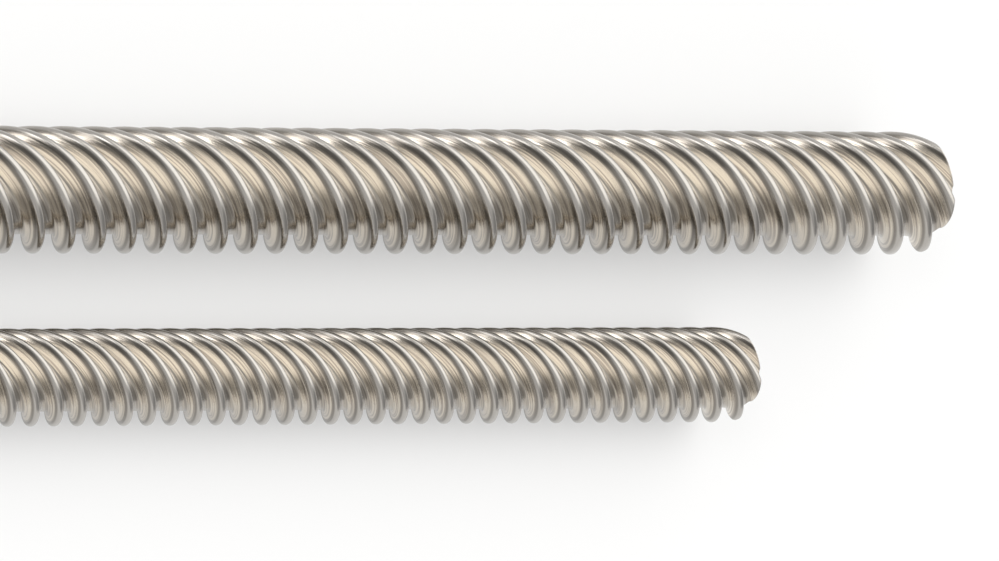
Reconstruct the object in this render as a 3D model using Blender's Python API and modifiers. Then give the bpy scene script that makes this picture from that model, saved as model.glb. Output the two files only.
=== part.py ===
"""Two rolled lead screws of six starts, a large one and a small one, lying side by side.

Each screw is a lobed cross-section swept along its axis with a steady twist, which makes a
right-hand thread of six starts. A turned blank then cuts it to length and chamfers both ends.
Sizes are in metres. +X runs along the screws, +Z is up, and the floor is at Z = 0.
"""
import math
from collections import namedtuple

import bmesh
import bpy

MM = 0.001
COLLECTION_NAME = "lead_screw_pair"
CUTTER_COLLECTION_NAME = "cutters"

# Driving sizes of the two screws
LARGE_DIAMETER = 15.6 * MM
LARGE_LEAD = 32.8 * MM
LARGE_LENGTH = 188.0 * MM
SMALL_DIAMETER = 12.0 * MM
SMALL_LEAD = 25.0 * MM
SMALL_LENGTH = 154.6 * MM
AXIS_SPACING = 22.9 * MM

# Thread form: half-widths are parts of one pitch, measured from the middle of a crest
STARTS = 6
START_ANGLE = 2.0 * math.pi / STARTS
DEPTH_PER_DIAMETER = 0.153
CREST_HALF_WIDTH = 0.105
SHOULDER_HALF_WIDTH = 0.165
ROOT_EDGE = 0.300
SHOULDER_DROP_PER_DEPTH = 0.2
CREST_ANGLE_AT_RIGHT_END = math.radians(3.8)

# Chamfer at both ends, at 45 degrees
CHAMFER_PER_DIAMETER = 0.134

# Fineness of the mesh, and how far cutting shapes pass the part
TWIST_STEPS_PER_TURN = 18
BLANK_SEGMENTS = 48
CUT_MARGIN = 1.0 * MM
POLE_MERGE = 0.00001

STEEL_COLOUR = (0.64, 0.59, 0.52, 1.0)
STEEL_ROUGHNESS = 0.26

Screw = namedtuple("Screw", "name diameter lead length axis_y")


def clear_scene():
    """Remove every object that the scene starts with."""
    for obj in list(bpy.data.objects):
        bpy.data.objects.remove(obj, do_unlink=True)


def new_collection(name):
    """A collection linked to the scene."""
    collection = bpy.data.collections.new(name)
    bpy.context.scene.collection.children.link(collection)
    return collection


def steel_material(name):
    """Bright rolled steel."""
    material = bpy.data.materials.new(name)
    material.use_nodes = True
    shader = material.node_tree.nodes["Principled BSDF"]
    shader.inputs["Base Color"].default_value = STEEL_COLOUR
    shader.inputs["Metallic"].default_value = 1.0
    shader.inputs["Roughness"].default_value = STEEL_ROUGHNESS
    return material


def thread_form(screw):
    """Corners of one thread, as (place along the pitch, radius), from one root edge to the other."""
    crest = screw.diameter / 2.0
    depth = screw.diameter * DEPTH_PER_DIAMETER
    shoulder = crest - depth * SHOULDER_DROP_PER_DEPTH
    root = crest - depth
    rising = [(-ROOT_EDGE, root), (-SHOULDER_HALF_WIDTH, shoulder), (-CREST_HALF_WIDTH, crest)]
    falling = [(-place, radius) for place, radius in reversed(rising)]
    return rising + falling


def add_section(mesh, screw, left_end, crest_angle):
    """A flat face across the axis, with one lobe for each start."""
    form = thread_form(screw)
    ring = bmesh.ops.create_circle(
        mesh, cap_ends=True, radius=screw.diameter / 2.0, segments=STARTS * len(form)
    )
    for index, vert in enumerate(ring["verts"]):
        start, corner = divmod(index, len(form))
        place, radius = form[corner]
        angle = crest_angle + (start + place) * START_ANGLE
        vert.co = (left_end, radius * math.cos(angle), radius * math.sin(angle))


def twisted_bar(screw):
    """The threaded bar, longer than the screw at both ends, as a closed mesh along local X."""
    length = screw.length + 2.0 * CUT_MARGIN
    turns = length / screw.lead
    steps = math.ceil(turns * TWIST_STEPS_PER_TURN)
    left_end = -length / 2.0
    turns_to_right_face = (screw.length + CUT_MARGIN) / screw.lead
    crest_angle = CREST_ANGLE_AT_RIGHT_END - 2.0 * math.pi * turns_to_right_face

    mesh = bmesh.new()
    add_section(mesh, screw, left_end, crest_angle)
    bmesh.ops.spin(
        mesh,
        geom=mesh.verts[:] + mesh.edges[:] + mesh.faces[:],
        axis=(1.0, 0.0, 0.0),
        dvec=(length / steps, 0.0, 0.0),
        angle=2.0 * math.pi * turns,
        steps=steps,
    )
    bmesh.ops.recalc_face_normals(mesh, faces=mesh.faces[:])
    data = bpy.data.meshes.new(screw.name)
    mesh.to_mesh(data)
    mesh.free()
    return data


def turned_blank(screw, collection):
    """The blank that the screw is cut from: square ends, 45 degree chamfers and a clear outside."""
    half = screw.length / 2.0
    face_radius = screw.diameter / 2.0 - screw.diameter * CHAMFER_PER_DIAMETER
    outer_radius = screw.diameter / 2.0 + CUT_MARGIN
    shoulder = half - (outer_radius - face_radius)
    profile = [
        (-half, 0.0),
        (-half, face_radius),
        (-shoulder, outer_radius),
        (shoulder, outer_radius),
        (half, face_radius),
        (half, 0.0),
    ]
    name = screw.name + "_blank"
    data = bpy.data.meshes.new(name)
    edges = [(index, index + 1) for index in range(len(profile) - 1)]
    data.from_pydata([(x, radius, 0.0) for x, radius in profile], edges, [])
    blank = bpy.data.objects.new(name, data)
    collection.objects.link(blank)
    turn = blank.modifiers.new("turn", "SCREW")
    turn.axis = "X"
    turn.steps = BLANK_SEGMENTS
    turn.render_steps = BLANK_SEGMENTS
    turn.use_merge_vertices = True
    turn.merge_threshold = POLE_MERGE
    turn.use_normal_calculate = True
    blank.display_type = "WIRE"
    blank.hide_render = True
    return blank


def build_screw(screw, left_face, parts, cutters):
    """One screw on the floor, with its origin on its own axis."""
    bar = bpy.data.objects.new(screw.name, twisted_bar(screw))
    bar.data.materials.append(steel_material(screw.name + "_steel"))
    parts.objects.link(bar)
    blank = turned_blank(screw, cutters)
    place = (left_face + screw.length / 2.0, screw.axis_y, screw.diameter / 2.0)
    bar.location = place
    blank.location = place
    cut = bar.modifiers.new("cut to the blank", "BOOLEAN")
    cut.operation = "INTERSECT"
    cut.solver = "EXACT"
    cut.object = blank


def main():
    """Build both screws, centred over the origin, with their left ends flush."""
    clear_scene()
    parts = new_collection(COLLECTION_NAME)
    cutters = new_collection(CUTTER_COLLECTION_NAME)
    width = AXIS_SPACING + (LARGE_DIAMETER + SMALL_DIAMETER) / 2.0
    large_y = width / 2.0 - LARGE_DIAMETER / 2.0
    small_y = large_y - AXIS_SPACING
    left_face = -LARGE_LENGTH / 2.0
    large = Screw("large_screw", LARGE_DIAMETER, LARGE_LEAD, LARGE_LENGTH, large_y)
    small = Screw("small_screw", SMALL_DIAMETER, SMALL_LEAD, SMALL_LENGTH, small_y)
    for screw in (large, small):
        build_screw(screw, left_face, parts, cutters)


main()
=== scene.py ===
import math
from collections import namedtuple

import bpy
import numpy as np
from mathutils import Matrix, Vector


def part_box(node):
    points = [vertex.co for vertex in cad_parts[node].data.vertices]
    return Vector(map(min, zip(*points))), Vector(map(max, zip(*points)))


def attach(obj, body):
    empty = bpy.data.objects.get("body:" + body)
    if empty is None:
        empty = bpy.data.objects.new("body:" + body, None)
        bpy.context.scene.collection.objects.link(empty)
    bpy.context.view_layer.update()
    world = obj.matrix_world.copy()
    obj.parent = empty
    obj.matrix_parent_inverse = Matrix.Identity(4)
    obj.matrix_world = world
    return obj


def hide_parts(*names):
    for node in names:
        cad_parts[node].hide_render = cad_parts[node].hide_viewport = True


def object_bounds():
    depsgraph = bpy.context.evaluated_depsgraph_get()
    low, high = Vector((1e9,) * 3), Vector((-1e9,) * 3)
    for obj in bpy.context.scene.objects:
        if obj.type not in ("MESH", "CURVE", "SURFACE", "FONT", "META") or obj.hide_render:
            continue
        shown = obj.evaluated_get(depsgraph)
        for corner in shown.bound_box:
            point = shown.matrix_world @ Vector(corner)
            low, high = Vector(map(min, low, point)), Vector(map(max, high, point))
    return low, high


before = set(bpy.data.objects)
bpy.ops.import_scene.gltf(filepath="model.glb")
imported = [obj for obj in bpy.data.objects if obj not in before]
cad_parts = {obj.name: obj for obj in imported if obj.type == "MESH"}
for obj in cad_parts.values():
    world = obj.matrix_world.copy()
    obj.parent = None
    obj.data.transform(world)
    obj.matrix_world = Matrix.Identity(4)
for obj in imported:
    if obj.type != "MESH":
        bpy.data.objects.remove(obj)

bl_info = {
    "name": "Lead Screw Pair",
    "version": (1, 0, 0),
    "blender": (4, 5, 0),
    "location": "View3D > Sidebar > Lead Screws",
    "description": "Dresses a large and a small six-start lead screw and sets the studio around them",
    "category": "Object",
}

MM = 0.001
FULL_TURN = 2.0 * math.pi
CAD_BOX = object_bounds()


class ThreadForm(bpy.types.PropertyGroup):
    """The rolled thread's outline, with widths as shares of one pitch."""

    starts: bpy.props.IntProperty(
        name="Starts", description="Threads that run side by side", default=6, min=1
    )
    depth: bpy.props.FloatProperty(
        name="Depth", description="Thread depth as a share of the diameter", default=0.153, subtype="FACTOR"
    )
    crest_half: bpy.props.FloatProperty(
        name="Crest",
        description="Half the width of a crest, as a share of the pitch",
        default=0.105,
        subtype="FACTOR",
    )
    root_edge: bpy.props.FloatProperty(
        name="Root Edge",
        description="Where a flank meets the root, as a share of the pitch from the middle of the crest",
        default=0.305,
        subtype="FACTOR",
    )
    crest_round: bpy.props.FloatProperty(
        name="Crest Rounding",
        description="Rounding of a crest's edges, as a share of the pitch",
        default=0.045,
        subtype="FACTOR",
    )
    root_round: bpy.props.FloatProperty(
        name="Root Rounding",
        description="Rounding of a root's corners, as a share of the pitch",
        default=0.045,
        subtype="FACTOR",
    )
    end_angle: bpy.props.FloatProperty(
        name="End Angle",
        description="Angle of a crest from +Y at the right-hand face",
        default=math.radians(3.8),
        subtype="ANGLE",
    )
    chamfer: bpy.props.FloatProperty(
        name="Chamfer",
        description="Chamfer at both ends, as a share of the diameter",
        default=0.134,
        subtype="FACTOR",
    )


class ScrewLeads(bpy.types.PropertyGroup):
    """The leads, which differ between the two screws and aren't in the frame."""

    large: bpy.props.FloatProperty(
        name="Large Lead",
        description="Travel of a nut in one turn of the large screw",
        default=32.8 * MM,
        unit="LENGTH",
    )
    small: bpy.props.FloatProperty(
        name="Small Lead",
        description="Travel of a nut in one turn of the small screw",
        default=25.0 * MM,
        unit="LENGTH",
    )


class SteelFinish(bpy.types.PropertyGroup):
    """Colours, including painted shade, and polish of the rolled steel."""

    crest_colour: bpy.props.FloatVectorProperty(
        name="Crest", description="Bright steel on the crests", default=(0.43, 0.408, 0.378), subtype="COLOR"
    )
    bare_colour: bpy.props.FloatVectorProperty(
        name="Bare Flank",
        description="Bright steel on the flanks that carry no load",
        default=(0.67, 0.64, 0.60),
        subtype="COLOR",
    )
    film_colour: bpy.props.FloatVectorProperty(
        name="Film", description="Tan film on the loaded flanks", default=(0.66, 0.60, 0.51), subtype="COLOR"
    )
    stain_colour: bpy.props.FloatVectorProperty(
        name="Stain", description="Brown drag marks in the film", default=(0.34, 0.30, 0.26), subtype="COLOR"
    )
    # Painted shade: colour of the dark band below the crests and of the darkened roots
    painted_shade_colour: bpy.props.FloatVectorProperty(
        name="Painted Shade",
        description="Painted shade below the crests on the loaded flanks and in the roots",
        default=(0.14, 0.126, 0.11),
        subtype="COLOR",
    )
    cut_colour: bpy.props.FloatVectorProperty(
        name="Cut", description="Fresh steel on the turned ends", default=(0.62, 0.60, 0.57), subtype="COLOR"
    )
    ring_colour: bpy.props.FloatVectorProperty(
        name="Rings", description="Darker rings from the tool", default=(0.48, 0.46, 0.44), subtype="COLOR"
    )
    crest_roughness: bpy.props.FloatProperty(
        name="Crest Roughness", description="Roughness of the crests", default=0.13, subtype="FACTOR"
    )
    film_roughness: bpy.props.FloatProperty(
        name="Film Roughness", description="Roughness of flanks and roots", default=0.16, subtype="FACTOR"
    )


class Studio(bpy.types.PropertyGroup):
    """The floor and the camera."""

    floor_colour: bpy.props.FloatVectorProperty(
        name="Floor", description="Pale floor", default=(0.53, 0.53, 0.53), subtype="COLOR"
    )
    floor_lift: bpy.props.FloatProperty(
        name="Floor Lift", description="Glow that brings the lit floor up to white", default=0.36
    )
    slant: bpy.props.FloatProperty(
        name="Slant",
        description="Turn of the line of sight away from square to the screws",
        default=math.radians(47.85),
        subtype="ANGLE",
    )
    lens: bpy.props.FloatProperty(
        name="Lens", description="Focal length, long for almost parallel rays", default=900.0, unit="CAMERA"
    )
    distance: bpy.props.FloatProperty(
        name="Distance", description="From the camera to the picture's middle", default=3.167, unit="LENGTH"
    )


class LeadScrewSettings(bpy.types.PropertyGroup):
    """Everything that the panel shows."""

    thread: bpy.props.PointerProperty(
        type=ThreadForm, name="Thread", description="Outline of the thread on both screws"
    )
    leads: bpy.props.PointerProperty(type=ScrewLeads, name="Leads", description="Lead of each screw")
    steel: bpy.props.PointerProperty(type=SteelFinish, name="Steel", description="Finish of both screws")
    studio: bpy.props.PointerProperty(type=Studio, name="Studio", description="Floor and camera")


# Thread surface: fineness of the mesh, and the softening of edges
PLACES_PER_PITCH = 33
OUTLINE_SAMPLES = 4001
HEIGHT_WEIGHT = 0.25
BEND_WEIGHT = 0.012
ROW_TWIST = math.radians(5.6)
CHAMFER_ROW = 0.055 * MM
EDGE_BLEND = 0.05 * MM
BLEND_REACH = 4.0 * EDGE_BLEND
FACE_FILLET = 0.08 * MM
FACE_FILLET_ROWS = 4
FACE_ROWS = 9
BODY_CLEARANCE = 1.0 * MM

# Half-width of the worn line along a crest's edges, in pitches, and how sharply the loaded side begins
WORN_HALF_WIDTH = 0.03
LOAD_STEEPNESS = 1.5

# Rows across the axis: place on the axis, radius of the turned blank, inset of the fillet, and scale
Rows = namedtuple("Rows", "x blank inset scale")
Surface = namedtuple("Surface", "points lay crest edge load cut poles")


def from_crest(place):
    """Distance to the middle of the nearest crest, for a place in pitches."""
    return np.abs(place - np.round(place))


def thread_drop(place, form):
    """Fall below the crest as a share of the depth, at a place in pitches from the middle of a crest.

    Each side of the outline is a difference of two hyperbolas, hypot(w - a, r) minus hypot(w - b, s):
    level before the crest's edge a, straight down the flank, and level after the root's edge b, with
    corners of radius r and s. Both sides are added, and the sum is scaled to run from 0 to 1.
    """

    def both_sides(w, corner, rounding):
        return np.hypot(w - corner, rounding) + np.hypot(w + corner, rounding)

    def outline(w):
        crest = both_sides(w, form.crest_half, form.crest_round)
        return crest - both_sides(w, form.root_edge, form.root_round)

    top = outline(0.0)
    return (outline(from_crest(place)) - top) / (outline(0.5) - top)


def thread_places(form):
    """Places across one pitch, from -0.5 to 0.5, that lie closer together where the outline bends.

    Each step holds the same share of the weighted sum of width, flank height and bend.
    """
    fine = np.linspace(-0.5, 0.5, OUTLINE_SAMPLES)
    slope = np.gradient(thread_drop(fine, form), fine)
    bend = np.abs(np.gradient(slope, fine))
    weight = 1.0 + HEIGHT_WEIGHT * np.abs(slope) + BEND_WEIGHT * bend
    share = np.concatenate([[0.0], np.cumsum((weight[1:] + weight[:-1]) / 2.0)])
    return np.interp(np.arange(PLACES_PER_PITCH) / PLACES_PER_PITCH, share / share[-1], fine)


def end_rows(half, face_radius, chamfer_start):
    """Rows of the right-hand end, from the start of the chamfer to the last one round the axis.

    The blank's chamfer is a 45 degree cone. A fillet turns it into the flat face by a quarter circle,
    and the face's rows are copies of its outline, shrunk towards the axis.
    """
    cone_count = math.ceil((half - FACE_FILLET - chamfer_start) / CHAMFER_ROW)
    cone_x = np.linspace(chamfer_start, half - FACE_FILLET, cone_count, endpoint=False)
    turn = np.linspace(0.0, math.pi / 2.0, FACE_FILLET_ROWS + 1)
    fillet_x = half - FACE_FILLET + FACE_FILLET * np.sin(turn)
    fillet_inset = FACE_FILLET * (1.0 - np.cos(turn))
    shrink = 1.0 - np.arange(1, FACE_ROWS) / FACE_ROWS
    x = np.concatenate([cone_x, fillet_x, np.full(shrink.size, half)])
    return Rows(
        x=x,
        blank=face_radius + (half - x),
        inset=np.concatenate([np.zeros(cone_count), fillet_inset, np.full(shrink.size, FACE_FILLET)]),
        scale=np.concatenate([np.ones(cone_count + turn.size), shrink]),
    )


def screw_rows(length, diameter, lead, form):
    """All rows from left to right: the mirrored right-hand end, the body, and the right-hand end."""
    half = length / 2.0
    radius = diameter / 2.0
    face_radius = radius - form.chamfer * diameter
    chamfer_start = half - (radius - face_radius) - BLEND_REACH
    end = end_rows(half, face_radius, chamfer_start)
    body_count = math.ceil(2.0 * chamfer_start / lead * FULL_TURN / ROW_TWIST)
    body_x = np.linspace(-chamfer_start, chamfer_start, body_count, endpoint=False)[1:]

    def with_ends(end_values, body_value):
        return np.concatenate([end_values[::-1], np.full(body_x.size, body_value), end_values])

    return Rows(
        x=np.concatenate([-end.x[::-1], body_x, end.x]),
        blank=with_ends(end.blank, radius + BODY_CLEARANCE),
        inset=with_ends(end.inset, 0.0),
        scale=with_ends(end.scale, 1.0),
    )


def soft_least(first, second, blend):
    """The lesser of two lengths, with the corner where they cross rounded as a hyperbola."""
    return (first + second) / 2.0 - np.hypot((first - second) / 2.0, blend)


def screw_surface(low, high, lead, form):
    """Points and surface facts of one screw, on a grid of rows along the axis and places round it.

    At axis place x and thread place w, in pitches, the angle is 2 pi (w / starts + x / lead), so the
    grid's lines run along the thread. The radius is the lesser of the thread's outline at w and the
    turned blank's radius at x. The result holds the points, an untwisted copy of them, which follows
    the lay of the rolling, the shares of crest, edge, loaded flank and turned cut at every point, and
    the middles of both end faces.
    """
    length = high.x - low.x
    diameter = high.z - low.z
    rows = screw_rows(length, diameter, lead, form)
    blank = rows.blank[:, None]
    inset = rows.inset[:, None]
    place = (np.arange(form.starts)[:, None] + thread_places(form)).ravel()
    drop = thread_drop(place, form)
    thread = diameter / 2.0 - form.depth * diameter * drop
    radius = (soft_least(thread, blank, EDGE_BLEND) - inset) * rows.scale[:, None]
    lay_angle = FULL_TURN * place / form.starts
    twist = form.end_angle + FULL_TURN * (rows.x - length / 2.0) / lead
    angle = lay_angle + twist[:, None]
    centre = (low + high) / 2.0
    along = np.broadcast_to(rows.x[:, None], radius.shape)
    points = np.stack(
        [centre.x + along, centre.y + radius * np.cos(angle), centre.z + radius * np.sin(angle)], axis=-1
    )
    cut = np.clip((thread - blank) / EDGE_BLEND, 0.0, 1.0)
    return Surface(
        points=points,
        lay=np.stack([along, radius * np.cos(lay_angle), radius * np.sin(lay_angle)], axis=-1),
        crest=1.0 - drop,
        edge=np.exp(-(((from_crest(place) - form.crest_half) / WORN_HALF_WIDTH) ** 2)),
        load=np.clip(0.5 + LOAD_STEEPNESS * np.sin(FULL_TURN * place), 0.0, 1.0),
        cut=np.where(inset > 0.0, 1.0, cut),
        poles=np.array([[low.x, centre.y, centre.z], [high.x, centre.y, centre.z]]),
    )


def grid_faces(rows, columns):
    """Quads between neighbouring rows and columns, closed round, and a fan of triangles at each end."""
    index = np.arange(rows * columns).reshape(rows, columns)
    after = np.roll(index, -1, axis=1)
    quads = np.stack([index[:-1], index[1:], after[1:], after[:-1]], axis=-1).reshape(-1, 4)
    left_pole = rows * columns
    right_pole = left_pole + 1
    left = np.stack([index[0], after[0], np.full(columns, left_pole)], axis=-1)
    right = np.stack([index[-1], np.full(columns, right_pole), after[-1]], axis=-1)
    return quads[:, ::-1], np.concatenate([left[:, ::-1], right[:, ::-1]])


def store(data, label, kind, field, values):
    """Write one named value per point into the mesh."""
    attribute = data.attributes.new(label, kind, "POINT")
    attribute.data.foreach_set(field, np.ascontiguousarray(values, dtype=np.float32).ravel())


def thread_mesh(name, surface):
    """A closed smooth mesh of one screw, with its surface facts as point attributes."""
    grid = surface.points.shape[:2]
    quads, fans = grid_faces(*grid)
    data = bpy.data.meshes.new(name)
    vertices = np.concatenate([surface.points.reshape(-1, 3), surface.poles])
    corners = np.concatenate([quads.ravel(), fans.ravel()])
    sides = np.concatenate([np.full(len(quads), 4), np.full(len(fans), 3)])
    data.vertices.add(len(vertices))
    data.vertices.foreach_set("co", vertices.ravel())
    data.loops.add(len(corners))
    data.loops.foreach_set("vertex_index", corners)
    data.polygons.add(len(sides))
    data.polygons.foreach_set("loop_start", np.cumsum(sides) - sides)
    data.update(calc_edges=True)
    data.validate()
    data.shade_smooth()
    lay = surface.lay
    pole_lay = np.array([[lay[0, 0, 0], 0.0, 0.0], [lay[-1, 0, 0], 0.0, 0.0]])
    store(data, "lay", "FLOAT_VECTOR", "vector", np.concatenate([lay.reshape(-1, 3), pole_lay]))
    for label in ("crest", "edge", "load", "cut"):
        values = np.broadcast_to(getattr(surface, label), grid)
        pole_value = 1.0 if label == "cut" else 0.0
        store(data, label, "FLOAT", "value", np.append(values.ravel(), [pole_value, pole_value]))
    return data


# Node helpers. A Mix node's sockets go by number, because those of different kinds share their names.
MIX_FACTOR = 0
MIX_NUMBERS = (2, 3)
MIX_COLOURS = (6, 7)
MIX_NUMBER_RESULT = 0
MIX_COLOUR_RESULT = 2

FLOAT = "NodeSocketFloat"
VECTOR = "NodeSocketVector"
COLOUR = "NodeSocketColor"


def plug(tree, made, label, value):
    """Set one input of a node, or link it if the value is a socket."""
    socket = made.inputs[label]
    if isinstance(value, bpy.types.NodeSocket):
        tree.links.new(value, socket)
    else:
        socket.default_value = value


def plug_all(tree, made, inputs):
    """Set or link inputs by name, where an underscore stands for a space."""
    for label, value in inputs.items():
        plug(tree, made, label.replace("_", " "), value)
    return made


def node(tree, kind, **inputs):
    """A node of this kind, with its inputs set or linked by name."""
    return plug_all(tree, tree.nodes.new(kind), inputs)


def operation_node(tree, kind, operation, values):
    """A node that works out one operation, with its inputs set or linked in order."""
    made = tree.nodes.new(kind)
    made.operation = operation
    for place, value in enumerate(values):
        plug(tree, made, place, value)
    return made


def maths(tree, operation, *values):
    """A number worked out by one Math node."""
    return operation_node(tree, "ShaderNodeMath", operation, values).outputs["Value"]


def vector_maths(tree, operation, *values):
    """One Vector Math node, with a vector result in Vector and a number in Value."""
    return operation_node(tree, "ShaderNodeVectorMath", operation, values)


def mix_colour(tree, factor, first, second):
    """One mix of two colours."""
    made = tree.nodes.new("ShaderNodeMix")
    made.data_type = "RGBA"
    for place, value in zip((MIX_FACTOR, *MIX_COLOURS), (factor, first, second)):
        plug(tree, made, place, value)
    return made.outputs[MIX_COLOUR_RESULT]


def mix_value(tree, factor, first, second):
    """One mix of two numbers."""
    made = tree.nodes.new("ShaderNodeMix")
    for place, value in zip((MIX_FACTOR, *MIX_NUMBERS), (factor, first, second)):
        plug(tree, made, place, value)
    return made.outputs[MIX_NUMBER_RESULT]


def spread(tree, value, low, high):
    """A smooth step of a value, from 0 at low to 1 at high."""
    made = tree.nodes.new("ShaderNodeMapRange")
    made.interpolation_type = "SMOOTHSTEP"
    for place, number in enumerate((value, low, high)):
        plug(tree, made, place, number)
    return made.outputs[0]


def new_group(name, inputs, outputs):
    """A shader node group with these sockets, as (tree, input node, output node)."""
    tree = bpy.data.node_groups.new(name, "ShaderNodeTree")
    for label, kind in inputs:
        tree.interface.new_socket(label, in_out="INPUT", socket_type=kind)
    for label, kind in outputs:
        tree.interface.new_socket(label, in_out="OUTPUT", socket_type=kind)
    return tree, tree.nodes.new("NodeGroupInput"), tree.nodes.new("NodeGroupOutput")


def use_group(tree, group, **inputs):
    """A group placed in a material, with its own values."""
    made = tree.nodes.new("ShaderNodeGroup")
    made.node_tree = group
    return plug_all(tree, made, inputs)


# Marks of the rolling: streak sizes as shares of the diameter, and the noise that they fade in between
STREAK_LENGTH = 0.9
STREAK_WIDTH = 0.022
STREAK_NOISE = (0.30, 0.70)
HAIRLINE_NOISE = (0.25, 0.75)
HAIRLINE_FINENESS = 4.3
HAIRLINE_ROUGHNESS = 0.08
HAIRLINE_RELIEF = 0.35
RELIEF_HEIGHT = 0.009 * MM

# Films and painted shade: heights on the thread, from 0 at the root to 1 at the crest, that each one fades
# in between
FILM_HEIGHTS = (0.93, 0.80)
# Painted shade: a dark band on the loaded flank just below the crest
SHADE_BAND_LOWER_HEIGHTS = (0.54, 0.76)
SHADE_BAND_UPPER_HEIGHTS = (0.97, 0.89)
# Painted shade: darkening in the roots
ROOT_SHADE_HEIGHTS = (0.16, 0.06)

# How much of the steel each mark and each painted shade covers, and the streaks that a stain fades in
# between
STAIN_STREAKS = (0.40, 0.90)
STAIN_COVER = 0.80
SHADE_BAND_COVER = 0.85
ROOT_SHADE_COVER = 0.50
EDGE_WEAR = 0.5

# Turned ends: rings from the tool, which are smoother where they are brighter
RING_SPACING = 0.22 * MM
RING_WAVE = 0.25
RING_SHADES = (0.30, 0.75)
CUT_ROUGHNESS = 0.32
RING_POLISH = 0.10


def rolled_lay_group():
    """Streaks that run along the thread: noise on the untwisted place, drawn out along the axis."""
    name = "Rolled Lay"
    if name in bpy.data.node_groups:
        return bpy.data.node_groups[name]
    tree, given, result = new_group(
        name,
        [("Lay", VECTOR), ("Streak Length", FLOAT), ("Streak Width", FLOAT)],
        [("Streaks", FLOAT), ("Hairlines", FLOAT)],
    )
    along = maths(tree, "DIVIDE", 1.0, given.outputs["Streak Length"])
    across = maths(tree, "DIVIDE", 1.0, given.outputs["Streak Width"])
    stretch = node(tree, "ShaderNodeCombineXYZ", X=along, Y=across, Z=across)
    drawn = vector_maths(tree, "MULTIPLY", given.outputs["Lay"], stretch.outputs["Vector"])
    place = drawn.outputs["Vector"]
    streaks = node(tree, "ShaderNodeTexNoise", Vector=place, Scale=1.0, Detail=2.0, Roughness=0.55)
    hairlines = node(
        tree, "ShaderNodeTexNoise", Vector=place, Scale=HAIRLINE_FINENESS, Detail=2.0, Roughness=0.6
    )
    plug(tree, result, "Streaks", spread(tree, streaks.outputs[0], *STREAK_NOISE))
    plug(tree, result, "Hairlines", spread(tree, hairlines.outputs[0], *HAIRLINE_NOISE))
    return tree


def groove_film_and_shade_group():
    """Film and painted shade by height and side of the thread.

    The crest is bright. The flank that a nut pushes on has a tan film with brown drag marks, and painted
    shade in a dark band below the crest. The other flank is bare. Painted shade darkens the root.
    """
    name = "Groove Film"
    if name in bpy.data.node_groups:
        return bpy.data.node_groups[name]
    colours = ("Crest Colour", "Bare Colour", "Film Colour", "Stain Colour", "Dark Colour")
    tree, given, result = new_group(
        name,
        [("Crest", FLOAT), ("Load", FLOAT), ("Streaks", FLOAT), *((label, COLOUR) for label in colours)],
        [("Colour", COLOUR), ("Film", FLOAT)],
    )
    height = given.outputs["Crest"]
    dark = given.outputs["Dark Colour"]
    stain = maths(tree, "MULTIPLY", spread(tree, given.outputs["Streaks"], *STAIN_STREAKS), STAIN_COVER)
    loaded = mix_colour(tree, stain, given.outputs["Film Colour"], given.outputs["Stain Colour"])
    # Painted shade: a dark band on the loaded flank just below the crest
    above = spread(tree, height, *SHADE_BAND_LOWER_HEIGHTS)
    below = spread(tree, height, *SHADE_BAND_UPPER_HEIGHTS)
    shade_band = maths(tree, "MULTIPLY", maths(tree, "MULTIPLY", above, below), SHADE_BAND_COVER)
    loaded = mix_colour(tree, shade_band, loaded, dark)
    flank = mix_colour(tree, given.outputs["Load"], given.outputs["Bare Colour"], loaded)
    film = spread(tree, height, *FILM_HEIGHTS)
    colour = mix_colour(tree, film, given.outputs["Crest Colour"], flank)
    # Painted shade: the roots darkened
    root_shade = maths(tree, "MULTIPLY", spread(tree, height, *ROOT_SHADE_HEIGHTS), ROOT_SHADE_COVER)
    plug(tree, result, "Colour", mix_colour(tree, root_shade, colour, dark))
    plug(tree, result, "Film", film)
    return tree


def turned_rings_group():
    """Fine rings left by the tool on the cut ends: a wave of the distance from the axis."""
    name = "Turned Rings"
    if name in bpy.data.node_groups:
        return bpy.data.node_groups[name]
    tree, given, result = new_group(name, [("Lay", VECTOR), ("Spacing", FLOAT)], [("Rings", FLOAT)])
    parts = node(tree, "ShaderNodeSeparateXYZ", Vector=given.outputs["Lay"])
    flat = node(tree, "ShaderNodeCombineXYZ", Y=parts.outputs["Y"], Z=parts.outputs["Z"])
    reach = vector_maths(tree, "LENGTH", flat.outputs["Vector"])
    turns = maths(tree, "DIVIDE", reach.outputs["Value"], given.outputs["Spacing"])
    wave = maths(tree, "SINE", maths(tree, "MULTIPLY", turns, FULL_TURN))
    wobble = node(tree, "ShaderNodeTexNoise", Scale=1.0, Detail=2.0)
    wobble.noise_dimensions = "1D"
    plug(tree, wobble, "W", turns)
    plug(tree, result, "Rings", maths(tree, "MULTIPLY_ADD", wave, RING_WAVE, wobble.outputs[0]))
    return tree


def read_attribute(tree, label, output):
    """What a point attribute of the mesh holds."""
    made = tree.nodes.new("ShaderNodeAttribute")
    made.attribute_name = label
    return made.outputs[output]


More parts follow.
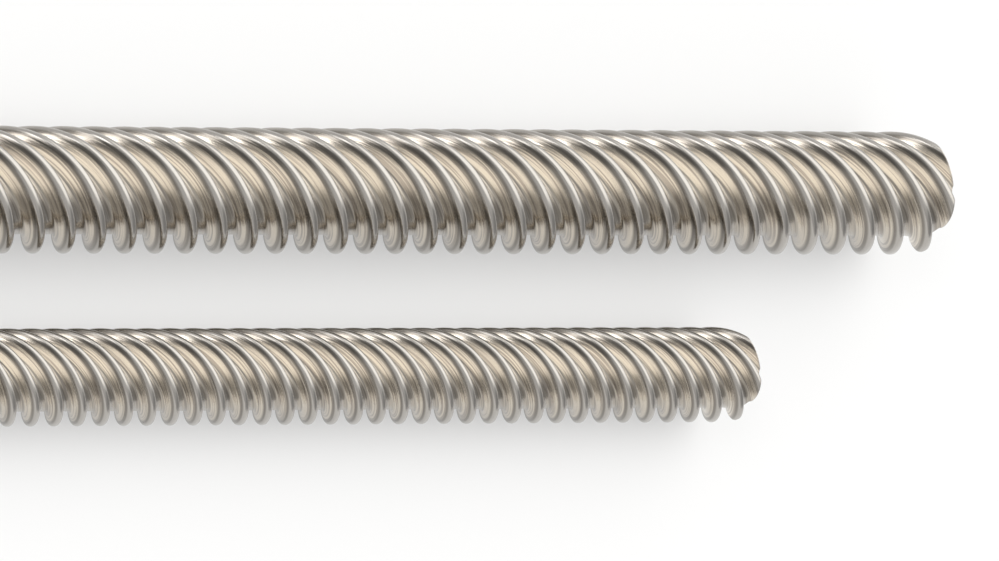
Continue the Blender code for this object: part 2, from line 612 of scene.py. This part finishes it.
def steel_material(name, finish, diameter):
    """Rolled steel: polished crests, a film on the flanks, painted shade below the crests and in the roots,
    and turned ends.
    """
    material = bpy.data.materials.new(name)
    material.use_nodes = True
    tree = material.node_tree
    shader = tree.nodes["Principled BSDF"]
    lay = read_attribute(tree, "lay", "Vector")
    cut = read_attribute(tree, "cut", "Fac")
    rolled = use_group(
        tree,
        rolled_lay_group(),
        Lay=lay,
        Streak_Length=STREAK_LENGTH * diameter,
        Streak_Width=STREAK_WIDTH * diameter,
    )
    streaks = rolled.outputs["Streaks"]
    hairlines = rolled.outputs["Hairlines"]
    film = use_group(
        tree,
        groove_film_and_shade_group(),
        Crest=read_attribute(tree, "crest", "Fac"),
        Load=read_attribute(tree, "load", "Fac"),
        Streaks=streaks,
        Crest_Colour=(*finish.crest_colour, 1.0),
        Bare_Colour=(*finish.bare_colour, 1.0),
        Film_Colour=(*finish.film_colour, 1.0),
        Stain_Colour=(*finish.stain_colour, 1.0),
        Dark_Colour=(*finish.painted_shade_colour, 1.0),
    )
    rings = use_group(tree, turned_rings_group(), Lay=lay, Spacing=RING_SPACING).outputs["Rings"]
    bright = spread(tree, rings, *RING_SHADES)

    worn = maths(tree, "MULTIPLY", read_attribute(tree, "edge", "Fac"), EDGE_WEAR)
    rolled_colour = mix_colour(tree, worn, film.outputs["Colour"], (*finish.crest_colour, 1.0))
    cut_colour = mix_colour(tree, bright, (*finish.ring_colour, 1.0), (*finish.cut_colour, 1.0))
    plug(tree, shader, "Base Color", mix_colour(tree, cut, rolled_colour, cut_colour))

    rolled_rough = mix_value(tree, film.outputs["Film"], finish.crest_roughness, finish.film_roughness)
    rolled_rough = maths(tree, "MULTIPLY_ADD", hairlines, HAIRLINE_ROUGHNESS, rolled_rough)
    cut_rough = maths(tree, "MULTIPLY_ADD", bright, -RING_POLISH, CUT_ROUGHNESS)
    plug(tree, shader, "Roughness", mix_value(tree, cut, rolled_rough, cut_rough))
    shader.inputs["Metallic"].default_value = 1.0

    rolled_relief = maths(tree, "MULTIPLY_ADD", hairlines, HAIRLINE_RELIEF, streaks)
    relief = mix_value(tree, cut, rolled_relief, rings)
    bump = node(tree, "ShaderNodeBump", Strength=1.0, Distance=RELIEF_HEIGHT, Height=relief)
    plug(tree, shader, "Normal", bump.outputs["Normal"])
    return material


def build_screw(node_name, body, lead, settings):
    """Replace one CAD screw by its finely modelled surface."""
    low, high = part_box(node_name)
    surface = screw_surface(Vector(low), Vector(high), lead, settings.thread)
    name = node_name + "_thread"
    piece = bpy.data.objects.new(name, thread_mesh(name, surface))
    bpy.context.scene.collection.objects.link(piece)
    piece.data.materials.append(steel_material(name + "_steel", settings.steel, high[2] - low[2]))
    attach(piece, body)
    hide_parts(node_name)


# Stage: soft boards in the sky, with half-angles where their fading starts and ends, in degrees
Board = namedtuple("Board", "azimuth elevation inner outer colour")
SKY_BASE = (0.82, 0.82, 0.82)
SKY_BOARDS = (
    Board(35.0, 55.0, 25.0, 50.0, (2.12, 2.11, 2.07)),
    Board(-80.0, 12.0, 12.0, 30.0, (0.66, 0.66, 0.66)),
    Board(-38.0, 18.0, 10.0, 30.0, (0.38, 0.38, 0.38)),
    Board(-170.0, 42.0, 8.0, 17.0, (0.26, 0.26, 0.26)),
    Board(-150.0, 33.0, 7.0, 16.0, (0.26, 0.26, 0.26)),
    Board(155.0, 39.5, 6.0, 13.0, (4.2, 4.2, 4.25)),
)
FLOOR_HALF = 12.0

# The middle of the picture, from the middle of the large screw's right-hand face: across and up
AIM_ACROSS = -53.35 * MM
AIM_UP = -11.07 * MM
SENSOR_WIDTH_MM = 36.0


def direction(azimuth, elevation):
    """Unit vector for an azimuth from +X and an elevation above the floor, in degrees."""
    a = math.radians(azimuth)
    e = math.radians(elevation)
    return Vector((math.cos(a) * math.cos(e), math.sin(a) * math.cos(e), math.sin(e)))


def sky_world():
    """A soft studio: a pale grey room with bright and dark boards that fade out from their middles.

    A board shows by the cosine of the angle between a ray and the board's direction.
    """
    world = bpy.data.worlds.new("studio_sky")
    world.use_nodes = True
    tree = world.node_tree
    ray = tree.nodes.new("ShaderNodeTexCoord").outputs["Generated"]
    colour = (*SKY_BASE, 1.0)
    for board in SKY_BOARDS:
        facing = vector_maths(tree, "DOT_PRODUCT", ray, direction(board.azimuth, board.elevation))
        fade_end = math.cos(math.radians(board.outer))
        fade_start = math.cos(math.radians(board.inner))
        shown = spread(tree, facing.outputs["Value"], fade_end, fade_start)
        colour = mix_colour(tree, shown, colour, (*board.colour, 1.0))
    plug(tree, tree.nodes["Background"], "Color", colour)
    bpy.context.scene.world = world


def floor_material(studio):
    """Pale floor: a diffuse face, and a glow for what the camera and the metal see of it."""
    material = bpy.data.materials.new("studio_floor")
    material.use_nodes = True
    tree = material.node_tree
    tree.nodes.remove(tree.nodes["Principled BSDF"])
    paths = tree.nodes.new("ShaderNodeLightPath")
    seen = maths(tree, "MAXIMUM", paths.outputs["Is Camera Ray"], paths.outputs["Is Glossy Ray"])
    seen = maths(tree, "MAXIMUM", seen, paths.outputs["Is Transmission Ray"])
    glow = node(
        tree,
        "ShaderNodeEmission",
        Color=(1.0, 1.0, 1.0, 1.0),
        Strength=maths(tree, "MULTIPLY", seen, studio.floor_lift),
    )
    face = node(tree, "ShaderNodeBsdfDiffuse", Color=(*studio.floor_colour, 1.0))
    both = tree.nodes.new("ShaderNodeAddShader")
    plug(tree, both, 0, face.outputs["BSDF"])
    plug(tree, both, 1, glow.outputs["Emission"])
    plug(tree, tree.nodes["Material Output"], "Surface", both.outputs["Shader"])
    return material


def build_floor(studio):
    """A wide flat floor under the screws, as a grid of one face."""
    side = np.array([-FLOOR_HALF, FLOOR_HALF])
    x, y = np.meshgrid(side, side, indexing="ij")
    points = np.stack([x, y, np.full(x.shape, CAD_BOX[0].z)], axis=-1).reshape(-1, 3)
    data = bpy.data.meshes.new("studio_floor")
    data.from_pydata(points.tolist(), [], [(0, 2, 3, 1)])
    data.materials.append(floor_material(studio))
    floor = bpy.data.objects.new("studio_floor", data)
    bpy.context.scene.collection.objects.link(floor)


def build_camera(studio):
    """A long lens above the left ends, with the screws running across the picture."""
    sight = Vector((math.sin(studio.slant), 0.0, -math.cos(studio.slant)))
    right = Vector((math.cos(studio.slant), 0.0, math.sin(studio.slant)))
    up = Vector((0.0, 1.0, 0.0))
    low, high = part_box("large_screw")
    face = Vector((high[0], (low[1] + high[1]) / 2.0, (low[2] + high[2]) / 2.0))
    aim = face + right * AIM_ACROSS + up * AIM_UP
    data = bpy.data.cameras.new("photo_camera")
    data.sensor_width = SENSOR_WIDTH_MM
    data.lens = studio.lens
    camera = bpy.data.objects.new("photo_camera", data)
    turn = Matrix((right, up, -sight)).transposed().to_4x4()
    camera.matrix_world = Matrix.Translation(aim - sight * studio.distance) @ turn
    bpy.context.scene.collection.objects.link(camera)
    bpy.context.scene.camera = camera


# Operators and panel


class LEADSCREWS_OT_stage(bpy.types.Operator):
    """Set up the floor, the sky and the camera"""

    bl_idname = "lead_screws.stage"
    bl_label = "Studio"

    def execute(self, context):
        studio = context.scene.lead_screws.studio
        context.scene.view_settings.view_transform = "Standard"
        build_floor(studio)
        sky_world()
        build_camera(studio)
        return {"FINISHED"}


class LEADSCREWS_OT_large_screw(bpy.types.Operator):
    """Model the large screw's thread, chamfers and finish"""

    bl_idname = "lead_screws.large_screw"
    bl_label = "Large Screw"

    def execute(self, context):
        settings = context.scene.lead_screws
        build_screw("large_screw", "large_screw_body", settings.leads.large, settings)
        return {"FINISHED"}


class LEADSCREWS_OT_small_screw(bpy.types.Operator):
    """Model the small screw's thread, chamfers and finish"""

    bl_idname = "lead_screws.small_screw"
    bl_label = "Small Screw"

    def execute(self, context):
        settings = context.scene.lead_screws
        build_screw("small_screw", "small_screw_body", settings.leads.small, settings)
        return {"FINISHED"}


class LEADSCREWS_PT_sidebar(bpy.types.Panel):
    """Lists the pieces and their settings"""

    bl_idname = "LEADSCREWS_PT_sidebar"
    bl_label = "Lead Screws"
    bl_space_type = "VIEW_3D"
    bl_region_type = "UI"
    bl_category = "Lead Screws"

    def draw(self, context):
        settings = context.scene.lead_screws
        for operator in OPERATORS:
            self.layout.operator(operator.bl_idname)
        for group in (settings.thread, settings.leads, settings.steel, settings.studio):
            box = self.layout.box()
            for label in group.bl_rna.properties.keys():
                if label not in ("rna_type", "name"):
                    box.prop(group, label)


OPERATORS = (LEADSCREWS_OT_stage, LEADSCREWS_OT_large_screw, LEADSCREWS_OT_small_screw)
CLASSES = (
    ThreadForm,
    ScrewLeads,
    SteelFinish,
    Studio,
    LeadScrewSettings,
    *OPERATORS,
    LEADSCREWS_PT_sidebar,
)


def register():
    for cls in CLASSES:
        bpy.utils.register_class(cls)
    bpy.types.Scene.lead_screws = bpy.props.PointerProperty(type=LeadScrewSettings)


def unregister():
    del bpy.types.Scene.lead_screws
    for cls in reversed(CLASSES):
        bpy.utils.unregister_class(cls)


def main():
    register()
    bpy.ops.lead_screws.stage()
    bpy.ops.lead_screws.large_screw()
    bpy.ops.lead_screws.small_screw()


if __name__ == "__main__":
    main()
